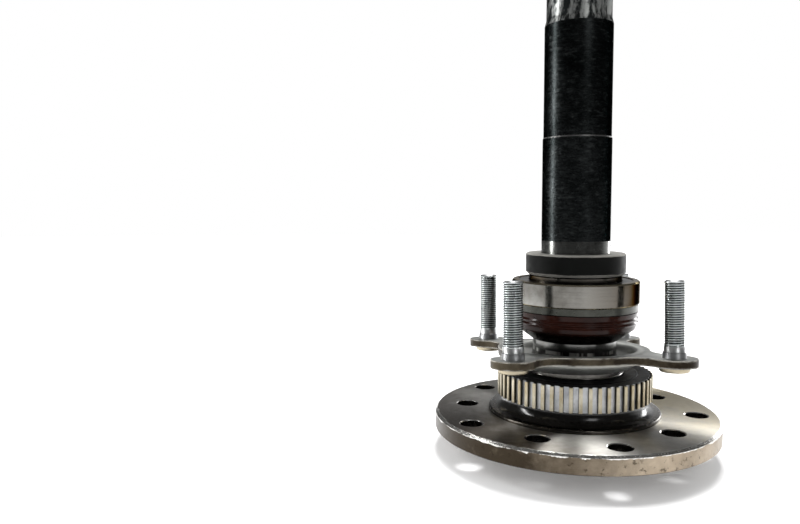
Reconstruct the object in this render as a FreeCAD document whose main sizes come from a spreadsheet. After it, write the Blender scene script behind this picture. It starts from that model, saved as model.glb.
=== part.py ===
import FreeCAD, Part
import math
import os
import Sketcher

# Rear axle shaft of the semi-floating kind, with its wheel flange, tone ring, retainer plate
# on four studs, seal, ball bearing and lock ring. It stands upright on its pilot.
# Millimetres. +Z runs up the shaft, towards the splined end, and z = 0 is the pilot's end face.

SIZES = {
    # wheel flange and pilot
    "pilot_radius": 35.7,
    "pilot_height": 13.0,
    "pilot_chamfer": 3.5,
    "pilot_fillet": 2.0,
    "flange_radius": 82.5,
    "flange_thickness": 10.4,
    "flange_edge_inboard": 1.3,
    "flange_edge_outboard": 0.5,
    "bolt_hole_radius": 6.35,
    "bolt_hole_chamfer": 0.45,
    "outer_bolt_circle": 139.7,
    "inner_bolt_circle": 127.0,
    "bolts_per_circle": 5,
    "first_hole_angle": 130.5,
    # hub between flange and bearing
    "step_radius": 50.2,
    "step_height": 2.0,
    "step_round": 1.3,
    "hub_radius": 40.0,
    "hub_fillet": 6.0,
    "tone_seat_radius": 36.0,
    "tone_seat_height": 9.6,
    "tone_recess": 0.2,
    "collar_radius": 27.8,
    "collar_height": 3.6,
    "collar_fillet": 0.9,
    "collar_round": 0.6,
    "journal_radius": 24.3,
    "journal_length": 33.0,
    "flare_height": 4.9,
    "flare_radius": 15.0,
    "journal_chamfer": 1.2,
    # cap pressed into the pilot
    "cap_counterbore_radius": 26.3,
    "cap_counterbore_depth": 2.4,
    "cap_bore_radius": 22.6,
    "cap_bore_depth": 10.0,
    "cap_rim_radius": 25.6,
    "cap_rim_thickness": 1.9,
    "cap_skirt_length": 5.5,
    "cap_wall": 1.0,
    "cap_disc_radius": 23.5,
    "cap_disc_thickness": 1.0,
    "cap_disc_play": 0.1,
    "cap_edge": 0.4,
    "cap_disc_edge": 0.3,
    # shaft above the bearing
    "seat_radius": 19.84,
    "seat_end_height": 124.6,
    "seat_step_length": 0.2,
    "body_radius": 19.8,
    "body_end_height": 183.7,
    "body_step_length": 0.8,
    "upper_radius": 19.4,
    "upper_end_height": 248.0,
    "neck_radius": 18.5,
    "neck_chamfer_length": 3.5,
    "neck_end_height": 290.0,
    "slim_radius": 17.3,
    "slim_taper_length": 45.0,
    "overall_height": 825.0,
    "centre_hole_radius": 4.5,
    "centre_hole_depth": 6.0,
    "end_chamfer": 2.0,
    # splined end
    "spline_teeth": 35,
    "spline_radius": 19.05,
    "spline_root_radius": 17.65,
    "spline_length": 110.0,
    "spline_gap_share": 0.58,
    "spline_runout_length": 7.0,
    "spline_flank_slope": 1.1547,
    # tone ring
    "tone_teeth": 54,
    "tone_radius": 44.9,
    "tone_tooth_depth": 1.8,
    "tone_tooth_width": 1.75,
    "tone_root_width": 2.3,
    "tone_height": 14.2,
    "tone_chamfer": 0.5,
    "tone_root_round": 0.3,
    # bearing
    "ring_chamfer": 0.8,
    "inner_ring_height": 20.9,
    "inner_ring_radius": 26.8,
    "race_radius": 36.8,
    "race_height": 13.4,
    "race_lift": 4.4,
    "race_bore_radius": 31.8,
    "ball_count": 12,
    "ball_radius": 4.6,
    "ball_circle_radius": 29.3,
    "ball_play": 0.05,
    "groove_ratio": 1.04,
    "cage_thickness": 0.6,
    "cage_width": 2.4,
    "cage_pocket_play": 0.15,
    "cage_rivet_radius": 0.8,
    "cage_rivet_head_radius": 1.2,
    "cage_rivet_head_height": 0.5,
    "shield_thickness": 0.6,
    "shield_inset": 0.4,
    "shield_seat_radius": 33.0,
    "shield_play": 0.35,
    # seal below the bearing
    "case_radius": 36.2,
    "case_height": 4.2,
    "case_wall": 1.5,
    "case_bore_radius": 28.0,
    "case_chamfer": 0.5,
    "rubber_radius": 35.5,
    "rubber_height": 10.2,
    "rubber_rib_height": 0.7,
    "rubber_upper_rib_drop": 3.9,
    "rubber_rib_spacing": 2.3,
    "rubber_corner": 2.5,
    "rubber_wall": 2.6,
    "rubber_rib_tip_round": 0.35,
    "rubber_rib_foot_round": 0.4,
    "rubber_inner_round": 1.0,
    "lip_play": 0.05,
    "lip_land": 0.7,
    "lip_height": 3.2,
    "lip_neck": 1.9,
    "lip_neck_height": 2.2,
    "lip_hook": 0.4,
    "lip_drop": 17.4,
    "spring_wire_radius": 0.8,
    "spring_play": 0.2,
    "spring_nest_share": 0.3,
    # lock ring
    "lock_ring_radius": 28.8,
    "lock_ring_height": 12.4,
    "lock_ring_chamfer": 0.7,
    # retainer plate
    "plate_thickness": 4.5,
    "plate_waist_radius": 44.0,
    "plate_ear_radius": 12.2,
    "plate_ear_blend": 14.0,
    "plate_tilt": 3.26,
    "plate_rest_gap": 0.25,
    "plate_shift": 0.7,
    "dish_depth": 6.9,
    "dish_radius": 33.4,
    "dish_floor": 3.4,
    "dish_corner": 5.0,
    "dish_bore_play": 1.0,
    "dish_mouth_round": 2.2,
    "dish_neck_round": 1.6,
    "dish_inner_round": 0.8,
    # retainer studs
    "stud_spacing": 87.4,
    "stud_length": 42.0,
    "stud_radius": 5.55,
    "stud_shoulder_radius": 6.2,
    "stud_shoulder_height": 4.0,
    "stud_head_radius": 8.0,
    "stud_head_height": 3.0,
    "stud_head_round": 1.2,
    "stud_chamfer": 1.0,
}

# how far a cutting section reaches past the faces that it cuts
overcut = 1.0

doc = FreeCAD.newDocument("AxleShaft")
sheet = doc.addObject("Spreadsheet::Sheet", "Sizes")
for row, (alias, number) in enumerate(SIZES.items(), start=1):
    sheet.set("A%d" % row, alias.replace("_", " "))
    sheet.set("B%d" % row, str(number))
    sheet.setAlias("B%d" % row, alias)
doc.recompute()


class Size:
    """A number together with the sheet expression that gives it."""

    def __init__(self, value, text):
        self.value = value
        self.text = text

    def __add__(self, other):
        other = as_size(other)
        return Size(self.value + other.value, "(%s + %s)" % (self.text, other.text))

    def __sub__(self, other):
        other = as_size(other)
        return Size(self.value - other.value, "(%s - %s)" % (self.text, other.text))

    def __mul__(self, other):
        other = as_size(other)
        return Size(self.value * other.value, "(%s * %s)" % (self.text, other.text))

    def __truediv__(self, other):
        other = as_size(other)
        return Size(self.value / other.value, "(%s / %s)" % (self.text, other.text))

    def __neg__(self):
        return Size(-self.value, "(0 - %s)" % self.text)


def as_size(number):
    if isinstance(number, Size):
        return number
    return Size(float(number), repr(float(number)))


def sine(degrees):
    return Size(math.sin(math.radians(degrees.value)), "sin(%s)" % degrees.text)


def cosine(degrees):
    return Size(math.cos(math.radians(degrees.value)), "cos(%s)" % degrees.text)


def size(alias):
    return Size(float(sheet.get(alias)), "Sizes." + alias)


# Heights that several pieces share, from the pilot's end face upwards
flange_rear = size("pilot_height")
flange_front = flange_rear + size("flange_thickness")
tone_bottom = flange_front + size("tone_seat_height")
hub_top = tone_bottom + size("tone_height") + size("tone_recess")
collar_top = hub_top + size("collar_height")
bearing_bottom = collar_top + size("journal_length")
lock_ring_bottom = bearing_bottom + size("inner_ring_height")
race_bottom = bearing_bottom + size("race_lift")
race_top = race_bottom + size("race_height")
ball_height = race_bottom + size("race_height") / 2
case_bottom = race_bottom - size("case_height")
spline_bottom = size("overall_height") - size("spline_length")
dish_bore_radius = size("collar_radius") + size("dish_bore_play")


def new_body(label):
    body = doc.addObject("PartDesign::Body", label)
    body.Label = label
    return body


def bind(thing, name, amount):
    thing.setExpression(name, amount.text)


def place(thing, x=None, y=None, z=None):
    for axis, amount in (("x", x), ("y", y), ("z", z)):
        if amount is not None:
            bind(thing, "Placement.Base." + axis, amount)


def origin_feature(body, role):
    for feature in body.Origin.OriginFeatures:
        if feature.Role == role:
            return feature


def new_sketch(body, name, role):
    sketch = body.newObject("Sketcher::SketchObject", name)
    sketch.AttachmentSupport = [(origin_feature(body, role), "")]
    sketch.MapMode = "FlatFace"
    return sketch


def pin_point(sketch, geometry, end, across, up):
    """Holds one point of the sketch at two sizes measured from the origin."""
    for kind, axis, amount in (("DistanceX", -2, across), ("DistanceY", -1, up)):
        amount = as_size(amount)
        if amount.value == 0 and "Sizes" not in amount.text:
            sketch.addConstraint(Sketcher.Constraint("PointOnObject", geometry, end, axis))
        elif amount.value >= 0:
            index = sketch.addConstraint(
                Sketcher.Constraint(kind, -1, 1, geometry, end, amount.value))
            sketch.setExpression("Constraints[%d]" % index, amount.text)
        else:
            index = sketch.addConstraint(
                Sketcher.Constraint(kind, geometry, end, -1, 1, -amount.value))
            sketch.setExpression("Constraints[%d]" % index, (-amount).text)


def rounded_corner(point, before, after, radius):
    """Tangent points and middle point of the arc that rounds a corner."""
    to_before = (before - point).normalize()
    to_after = (after - point).normalize()
    half = to_before.getAngle(to_after) / 2
    bisector = (to_before + to_after).normalize()
    reach = radius / math.tan(half)
    centre = point + bisector * (radius / math.sin(half))
    return point + to_before * reach, centre - bisector * radius, point + to_after * reach


def add_arc(sketch, start, middle, end):
    """Adds an arc, always anticlockwise, and says which of its ends is the start given."""
    turns_left = (middle - start).cross(end - middle).z > 0
    if turns_left:
        return sketch.addGeometry(Part.Arc(start, middle, end), False), 1
    return sketch.addGeometry(Part.Arc(end, middle, start), False), 2


def fix_radius(sketch, geometry, radius):
    radius = as_size(radius)
    index = sketch.addConstraint(Sketcher.Constraint("Radius", geometry, radius.value))
    sketch.setExpression("Constraints[%d]" % index, radius.text)


def draw_outline(sketch, corners):
    """A closed outline. Each corner is (across, up) or (across, up, rounding radius)."""
    points = [FreeCAD.Vector(as_size(c[0]).value, as_size(c[1]).value, 0) for c in corners]
    count = len(corners)
    entry, exit_, middles = list(points), list(points), {}
    for i, corner in enumerate(corners):
        if len(corner) == 3:
            entry[i], middles[i], exit_[i] = rounded_corner(
                points[i], points[i - 1], points[(i + 1) % count], as_size(corner[2]).value)
    lines = [sketch.addGeometry(Part.LineSegment(exit_[i], entry[(i + 1) % count]), False)
             for i in range(count)]
    for i, corner in enumerate(corners):
        before, after = lines[i - 1], lines[i]
        if i not in middles:
            sketch.addConstraint(Sketcher.Constraint("Coincident", before, 2, after, 1))
            pin_point(sketch, after, 1, corner[0], corner[1])
            continue
        arc, first = add_arc(sketch, entry[i], middles[i], exit_[i])
        sketch.addConstraint(Sketcher.Constraint("Tangent", before, 2, arc, first))
        sketch.addConstraint(Sketcher.Constraint("Tangent", arc, 3 - first, after, 1))
        fix_radius(sketch, arc, corner[2])
        point = sketch.addGeometry(Part.Point(points[i]), True)
        sketch.addConstraint(Sketcher.Constraint("PointOnObject", point, 1, before))
        sketch.addConstraint(Sketcher.Constraint("PointOnObject", point, 1, after))
        pin_point(sketch, point, 1, corner[0], corner[1])


def draw_circle(sketch, across, up, radius):
    centre = FreeCAD.Vector(as_size(across).value, as_size(up).value, 0)
    outline = Part.Circle(centre, FreeCAD.Vector(0, 0, 1), as_size(radius).value)
    circle = sketch.addGeometry(outline, False)
    pin_point(sketch, circle, 3, across, up)
    fix_radius(sketch, circle, radius)


def polar(radius, degrees, about=FreeCAD.Vector()):
    turn = math.radians(degrees)
    return about + FreeCAD.Vector(radius * math.cos(turn), radius * math.sin(turn), 0)


def turned(body, name, corners, cut=False):
    """Turns an outline, given as radius and height, about the body's Z axis."""
    sketch = new_sketch(body, name + "_section", "XZ_Plane")
    draw_outline(sketch, corners)
    kind = "PartDesign::Groove" if cut else "PartDesign::Revolution"
    feature = body.newObject(kind, name)
    feature.Profile = sketch
    feature.ReferenceAxis = (sketch, ["V_Axis"])
    feature.Angle = 360
    sketch.Visibility = False
    body.Tip = feature
    return feature


def around(body, name, feature, copies):
    """Repeats a feature evenly around the body's Z axis."""
    pattern = body.newObject("PartDesign::PolarPattern", name)
    pattern.Originals = [feature]
    pattern.Axis = (origin_feature(body, "Z_Axis"), [""])
    pattern.Angle = 360
    bind(pattern, "Occurrences", copies)
    body.Tip = pattern
    return pattern


def bolt_hole(body, name, circle, turn):
    """One chamfered hole through the flange, cut by turning its section about its own axis."""
    sketch = new_sketch(body, name + "_section", "XZ_Plane")
    sketch.AttachmentOffset = FreeCAD.Placement(
        FreeCAD.Vector(), FreeCAD.Rotation(FreeCAD.Vector(0, 1, 0), turn))
    centre = circle / 2
    wall = centre + size("bolt_hole_radius")
    chamfer = size("bolt_hole_chamfer")
    draw_outline(sketch, [
        (centre, flange_rear - overcut),
        (wall + chamfer, flange_rear - overcut),
        (wall + chamfer, flange_rear),
        (wall, flange_rear + chamfer),
        (wall, flange_front - chamfer),
        (wall + chamfer, flange_front),
        (wall + chamfer, flange_front + overcut),
        (centre, flange_front + overcut)])
    axis = sketch.addGeometry(Part.LineSegment(
        FreeCAD.Vector(centre.value, flange_rear.value - overcut, 0),
        FreeCAD.Vector(centre.value, flange_front.value + overcut, 0)), True)
    closing_line = axis - 1
    sketch.addConstraint(Sketcher.Constraint("Coincident", axis, 1, closing_line, 2))
    sketch.addConstraint(Sketcher.Constraint("Coincident", axis, 2, closing_line, 1))
    hole = body.newObject("PartDesign::Groove", name)
    hole.Profile = sketch
    hole.ReferenceAxis = (sketch, ["Axis0"])
    hole.Angle = 360
    body.Tip = hole
    return around(body, name + "_circle", hole, size("bolts_per_circle"))


def make_axle_shaft():
    """Flange, pilot, hub, journal and shaft, forged and turned in one piece."""
    body = new_body("axle_shaft")
    edge_in, edge_out = size("flange_edge_inboard"), size("flange_edge_outboard")
    rim = size("flange_radius")
    pilot = size("pilot_radius")
    journal = size("journal_radius")
    seat = size("seat_radius")
    spline = size("spline_radius")
    top = size("overall_height")
    centre_hole = size("centre_hole_radius")
    centre_depth = size("centre_hole_depth")
    runout = size("spline_runout_length")
    turned(body, "turned_blank", [
        (0, size("cap_bore_depth") + centre_depth),
        (centre_hole, size("cap_bore_depth")),
        (size("cap_bore_radius"), size("cap_bore_depth")),
        (size("cap_bore_radius"), size("cap_counterbore_depth")),
        (size("cap_counterbore_radius"), size("cap_counterbore_depth")),
        (size("cap_counterbore_radius"), 0),
        (pilot - size("pilot_chamfer"), 0),
        (pilot, size("pilot_chamfer")),
        (pilot, flange_rear, size("pilot_fillet")),
        (rim - edge_out, flange_rear),
        (rim, flange_rear + edge_out),
        (rim, flange_front - edge_in),
        (rim - edge_in, flange_front),
        (size("step_radius"), flange_front),
        (size("step_radius"), flange_front + size("step_height"), size("step_round")),
        (size("hub_radius"), flange_front + size("step_height"), size("hub_fillet")),
        (size("hub_radius"), tone_bottom),
        (size("tone_seat_radius"), tone_bottom),
        (size("tone_seat_radius"), hub_top),
        (size("collar_radius"), hub_top, size("collar_fillet")),
        (size("collar_radius"), collar_top, size("collar_round")),
        (journal, collar_top + size("flare_height"), size("flare_radius")),
        (journal, bearing_bottom - size("journal_chamfer")),
        (journal - size("journal_chamfer"), bearing_bottom),
        (seat, bearing_bottom),
        (seat, size("seat_end_height")),
        (size("body_radius"), size("seat_end_height") + size("seat_step_length")),
        (size("body_radius"), size("body_end_height")),
        (size("upper_radius"), size("body_end_height") + size("body_step_length")),
        (size("upper_radius"), size("upper_end_height")),
        (size("neck_radius"), size("upper_end_height") + size("neck_chamfer_length")),
        (size("neck_radius"), size("neck_end_height")),
        (size("slim_radius"), size("neck_end_height") + size("slim_taper_length")),
        (size("slim_radius"), spline_bottom - runout),
        (spline, spline_bottom),
        (spline, top - size("end_chamfer")),
        (spline - size("end_chamfer"), top),
        (centre_hole, top),
        (0, top - centre_depth)])
    bolt_hole(body, "outer_bolt_hole", size("outer_bolt_circle"), 0)
    bolt_hole(body, "inner_bolt_hole", size("inner_bolt_circle"), 180 / size("bolts_per_circle").value)
    cut_spline(body)
    turn = size("first_hole_angle")
    body.Placement = FreeCAD.Placement(
        FreeCAD.Vector(), FreeCAD.Rotation(FreeCAD.Vector(0, 0, 1), turn.value))
    bind(body, "Placement.Rotation.Angle", turn)
    return body


def cut_spline(body):
    """Tooth gaps of the splined end, each narrower at its root, running out on the cone below."""
    pitch = Size(2 * math.pi, "(2 * pi)") * size("spline_radius") / size("spline_teeth")
    mouth = pitch * size("spline_gap_share")
    depth = size("spline_radius") - size("spline_root_radius")
    root = mouth - depth * size("spline_flank_slope")
    over = size("spline_radius") + overcut / 2
    sketch = new_sketch(body, "spline_gap_section", "XY_Plane")
    bind(sketch, "AttachmentOffset.Base.z", size("overall_height") + overcut)
    draw_outline(sketch, [
        (size("spline_root_radius"), -(root / 2)),
        (over, -(mouth / 2)),
        (over, mouth / 2),
        (size("spline_root_radius"), root / 2)])
    gap = body.newObject("PartDesign::Pocket", "spline_gap")
    gap.Profile = sketch
    bind(gap, "Length", size("spline_length") + size("spline_runout_length") + overcut)
    body.Tip = gap
    around(body, "spline_gaps", gap, size("spline_teeth"))


def make_hub_cap():
    """Pressed cup that closes the pilot's bore, with a shallow seat for its disc."""
    body = new_body("hub_cap")
    top = size("cap_counterbore_depth")
    face = top - size("cap_rim_thickness")
    seat = face + size("cap_disc_thickness")
    skirt = size("cap_bore_radius")
    turned(body, "cap", [
        (0, seat),
        (size("cap_disc_radius"), seat),
        (size("cap_disc_radius"), face),
        (size("cap_rim_radius") - size("cap_edge"), face),
        (size("cap_rim_radius"), face + size("cap_edge")),
        (size("cap_rim_radius"), top),
        (skirt, top),
        (skirt, top + size("cap_skirt_length")),
        (skirt - size("cap_wall"), top + size("cap_skirt_length")),
        (skirt - size("cap_wall"), seat + size("cap_wall")),
        (0, seat + size("cap_wall"))])
    return body


def make_cap_disc():
    """Plain disc in the cap's seat."""
    body = new_body("cap_disc")
    face = size("cap_counterbore_depth") - size("cap_rim_thickness")
    back = face + size("cap_disc_thickness")
    outside = size("cap_disc_radius") - size("cap_disc_play")
    edge = size("cap_disc_edge")
    turned(body, "disc", [
        (0, face),
        (outside - edge, face),
        (outside, face + edge),
        (outside, back),
        (0, back)])
    return body


def make_tone_ring():
    """Toothed ring pressed on the hub, read by the wheel speed sensor."""
    body = new_body("tone_ring")
    edge = size("tone_chamfer")
    tip = size("tone_radius")
    bore = size("tone_seat_radius")
    top = tone_bottom + size("tone_height")
    turned(body, "ring_blank", [
        (bore, tone_bottom),
        (tip - edge, tone_bottom),
        (tip, tone_bottom + edge),
        (tip, top - edge),
        (tip - edge, top),
        (bore + edge, top),
        (bore, top - edge)])
    root = tip - size("tone_tooth_depth")
    pitch = Size(2 * math.pi, "(2 * pi)") * tip / size("tone_teeth")
    mouth = pitch - size("tone_tooth_width")
    floor = pitch * root / tip - size("tone_root_width")
    sketch = new_sketch(body, "tooth_gap_section", "XY_Plane")
    bind(sketch, "AttachmentOffset.Base.z", top + overcut)
    draw_outline(sketch, [
        (root, -(floor / 2), size("tone_root_round")),
        (tip, -(mouth / 2)),
        (tip + overcut, -(mouth / 2)),
        (tip + overcut, mouth / 2),
        (tip, mouth / 2),
        (root, floor / 2, size("tone_root_round"))])
    gap = body.newObject("PartDesign::Pocket", "tooth_gap")
    gap.Profile = sketch
    bind(gap, "Length", size("tone_height") + 2 * overcut)
    body.Tip = gap
    around(body, "tooth_gaps", gap, size("tone_teeth"))
    return body


def ball_track(body, name, track_centre):
    """Groove for the balls, turned about the bearing's axis."""
    sketch = new_sketch(body, name + "_section", "XZ_Plane")
    draw_circle(sketch, track_centre, ball_height, size("ball_radius") * size("groove_ratio"))
    track = body.newObject("PartDesign::Groove", name)
    track.Profile = sketch
    track.ReferenceAxis = (sketch, ["V_Axis"])
    track.Angle = 360
    body.Tip = track


def track_offset():
    """How far a track's section centre lies from the ball circle."""
    ball = size("ball_radius")
    return ball * size("groove_ratio") - ball - size("ball_play")


def make_inner_ring():
    body = new_body("bearing_inner_ring")
    edge = size("ring_chamfer")
    bore, outside = size("seat_radius"), size("inner_ring_radius")
    turned(body, "ring", [
        (bore + edge, bearing_bottom),
        (outside - edge, bearing_bottom),
        (outside, bearing_bottom + edge),
        (outside, lock_ring_bottom - edge),
        (outside - edge, lock_ring_bottom),
        (bore, lock_ring_bottom),
        (bore, bearing_bottom + edge)])
    ball_track(body, "inner_track", size("ball_circle_radius") + track_offset())
    return body


def make_outer_race():
    body = new_body("bearing_outer_race")
    edge = size("ring_chamfer")
    bore, outside = size("race_bore_radius"), size("race_radius")
    shelf = race_top - size("shield_inset") - size("shield_thickness")
    turned(body, "race", [
        (bore, race_bottom),
        (outside - edge, race_bottom),
        (outside, race_bottom + edge),
        (outside, race_top - edge),
        (outside - edge, race_top),
        (size("shield_seat_radius"), race_top),
        (size("shield_seat_radius"), shelf),
        (bore, shelf)])
    ball_track(body, "outer_track", size("ball_circle_radius") - track_offset())
    return body


def make_shield():
    """Thin ring that closes the bearing's upper side."""
    body = new_body("bearing_shield")
    top = race_top - size("shield_inset")
    bottom = top - size("shield_thickness")
    turned(body, "shield", [
        (size("inner_ring_radius") + size("shield_play"), bottom),
        (size("shield_seat_radius"), bottom),
        (size("shield_seat_radius"), top),
        (size("inner_ring_radius") + size("shield_play"), top)])
    return body


def make_balls():
    count = int(size("ball_count").value)
    balls = []
    for i in range(count):
        ball = doc.addObject("Part::Sphere", "ball_%02d" % (i + 1))
        ball.Label = ball.Name
        bind(ball, "Radius", size("ball_radius"))
        angle = as_size(i * 360 / count)
        place(ball, size("ball_circle_radius") * cosine(angle),
              size("ball_circle_radius") * sine(angle), ball_height)
        balls.append(ball)
    return balls


def ball_sphere(body, name, kind, radius):
    """One sphere on the ball circle for each ball, added to the cage or cut from it."""
    sphere = body.newObject(kind, name)
    sphere.AttachmentSupport = [(origin_feature(body, "XY_Plane"), "")]
    sphere.MapMode = "FlatFace"
    bind(sphere, "Radius", radius)
    bind(sphere, "AttachmentOffset.Base.x", size("ball_circle_radius"))
    body.Tip = sphere
    around(body, name + "s", sphere, size("ball_count"))


def cage_half(label, upward):
    """Pressed strip with a round pocket for each ball, and holes for the rivets between them."""
    body = new_body(label)
    strip = size("cage_thickness")
    inside = size("ball_circle_radius") - size("cage_width") / 2
    outside = size("ball_circle_radius") + size("cage_width") / 2
    pocket = size("ball_radius") + size("cage_pocket_play")
    shell = pocket + strip
    turned(body, "strip", [(inside, 0), (outside, 0), (outside, strip), (inside, strip)])
    ball_sphere(body, "bulge", "PartDesign::AdditiveSphere", shell)
    ball_sphere(body, "hollow", "PartDesign::SubtractiveSphere", pocket)
    reach = shell + overcut
    turned(body, "trim", [
        (0, reach), (inside, reach), (inside, 0), (outside, 0), (outside, reach),
        (outside + reach, reach), (outside + reach, -reach), (0, -reach)], cut=True)
    half_step = as_size(180) / size("ball_count")
    sketch = new_sketch(body, "rivet_hole_section", "XY_Plane")
    draw_circle(sketch, size("ball_circle_radius") * cosine(half_step),
                size("ball_circle_radius") * sine(half_step), size("cage_rivet_radius"))
    hole = body.newObject("PartDesign::Pocket", "rivet_hole")
    hole.Profile = sketch
    hole.Midplane = True
    bind(hole, "Length", strip * 4)
    body.Tip = hole
    around(body, "rivet_holes", hole, size("ball_count"))
    if not upward:
        body.Placement = FreeCAD.Placement(
            FreeCAD.Vector(), FreeCAD.Rotation(FreeCAD.Vector(1, 0, 0), 180))
    place(body, z=ball_height)
    return body


def make_cage_rivets():
    """One node of equal rivets that hold the cage's halves together."""
    strip = size("cage_thickness").value
    shank_radius = size("cage_rivet_radius").value
    head_radius = size("cage_rivet_head_radius").value
    head = size("cage_rivet_head_height").value
    circle = size("ball_circle_radius").value
    count = int(size("ball_count").value)
    up = FreeCAD.Vector(0, 0, 1)
    rivets = []
    for i in range(count):
        foot = polar(circle, (i + 0.5) * 360 / count) - up * (strip + head)
        lower = Part.makeCone(shank_radius, head_radius, head, foot, up)
        shank = Part.makeCylinder(shank_radius, 2 * strip, foot + up * head, up)
        upper = Part.makeCone(head_radius, shank_radius, head, foot + up * (head + 2 * strip), up)
        rivets.append(lower.fuse([shank, upper]))
    group = doc.addObject("Part::Feature", "cage_rivets")
    group.Label = "cage_rivets"
    group.Shape = Part.makeCompound(rivets)
    place(group, z=ball_height)
    return group


def make_seal_case():
    """Pressed steel ring under the race that carries the rubber."""
    body = new_body("seal_case")
    wall = size("case_wall")
    edge = size("case_chamfer")
    outside = size("case_radius")
    turned(body, "case", [
        (size("case_bore_radius"), case_bottom),
        (outside - edge, case_bottom),
        (outside, case_bottom + edge),
        (outside, race_bottom),
        (outside - wall, race_bottom),
        (outside - wall, case_bottom + wall),
        (size("case_bore_radius"), case_bottom + wall)])
    return body


def spring_centre():
    """Radius and height of the garter spring's wire circle, in a notch behind the lip."""
    nest = size("spring_wire_radius") * size("spring_nest_share")
    radius = size("journal_radius") + size("lip_height") + nest
    height = case_bottom - size("lip_drop") + size("lip_height") + size("spring_wire_radius")
    return radius, height


def make_seal_rubber():
    """Ribbed rubber wall with a cone that leads in to the lip on the journal."""
    body = new_body("seal_rubber")
    outside = size("rubber_radius")
    rib = outside + size("rubber_rib_height")
    low = case_bottom - size("rubber_height")
    upper_rib = case_bottom - size("rubber_upper_rib_drop")
    lower_rib = upper_rib - size("rubber_rib_spacing")
    half_rib = size("rubber_rib_spacing") / 2
    wall = size("rubber_wall")
    lip = size("journal_radius") + size("lip_play")
    land = size("lip_land")
    tip = case_bottom - size("lip_drop")
    heel = tip + size("lip_height")
    neck = lip + size("lip_height") + size("lip_neck")
    hook = size("lip_hook")
    foot_round, tip_round = size("rubber_rib_foot_round"), size("rubber_rib_tip_round")
    turned(body, "rubber", [
        (lip, tip + land),
        (lip + land, tip),
        (outside - land, low, size("rubber_corner")),
        (outside, lower_rib - half_rib, foot_round),
        (rib, lower_rib, tip_round),
        (outside, lower_rib + half_rib, foot_round),
        (rib, upper_rib, tip_round),
        (outside, upper_rib + half_rib, foot_round),
        (size("case_radius"), case_bottom),
        (outside - wall, case_bottom),
        (outside - wall, low + wall, size("rubber_inner_round")),
        (neck, heel + size("lip_neck_height")),
        (neck - size("lip_neck") + hook, heel + size("lip_neck_height")),
        (neck - size("lip_neck") - hook, heel),
        (lip + land, heel),
        (lip, tip + land * 2)])
    radius, height = spring_centre()
    sketch = new_sketch(body, "spring_groove_section", "XZ_Plane")
    draw_circle(sketch, radius, height, size("spring_wire_radius") + size("spring_play"))
    groove = body.newObject("PartDesign::Groove", "spring_groove")
    groove.Profile = sketch
    groove.ReferenceAxis = (sketch, ["V_Axis"])
    groove.Angle = 360
    body.Tip = groove
    return body


def make_seal_spring():
    """Garter spring round the lip, as a plain ring of its outer size."""
    ring = doc.addObject("Part::Torus", "seal_spring")
    ring.Label = "seal_spring"
    radius, height = spring_centre()
    bind(ring, "Radius1", radius)
    bind(ring, "Radius2", size("spring_wire_radius"))
    place(ring, z=height)
    return ring


def make_lock_ring():
    """Ring pressed on the shaft above the bearing."""
    body = new_body("lock_ring")
    edge = size("lock_ring_chamfer")
    bore, outside = size("seat_radius"), size("lock_ring_radius")
    top = lock_ring_bottom + size("lock_ring_height")
    turned(body, "ring", [
        (bore, lock_ring_bottom),
        (outside - edge * 2, lock_ring_bottom),
        (outside, lock_ring_bottom + edge * 2),
        (outside, top - edge),
        (outside - edge, top),
        (bore + edge, top),
        (bore, top - edge)])
    return body


def plate_origin_height():
    """Height of the dish's underside on the axis, with its low side just over the hub."""
    flat = size("dish_radius") - size("dish_corner")
    return hub_top + size("plate_rest_gap") + flat * sine(size("plate_tilt"))


def tilted(thing, across, along, lift):
    """Places a piece of the loose plate, which lies tilted about X and pushed to one side."""
    tilt = size("plate_tilt")
    thing.Placement = FreeCAD.Placement(
        FreeCAD.Vector(), FreeCAD.Rotation(FreeCAD.Vector(-1, 0, 0), tilt.value))
    bind(thing, "Placement.Rotation.Angle", tilt)
    place(thing, across - size("plate_shift"), along * cosine(tilt) + lift * sine(tilt),
          plate_origin_height() - along * sine(tilt) + lift * cosine(tilt))


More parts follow.
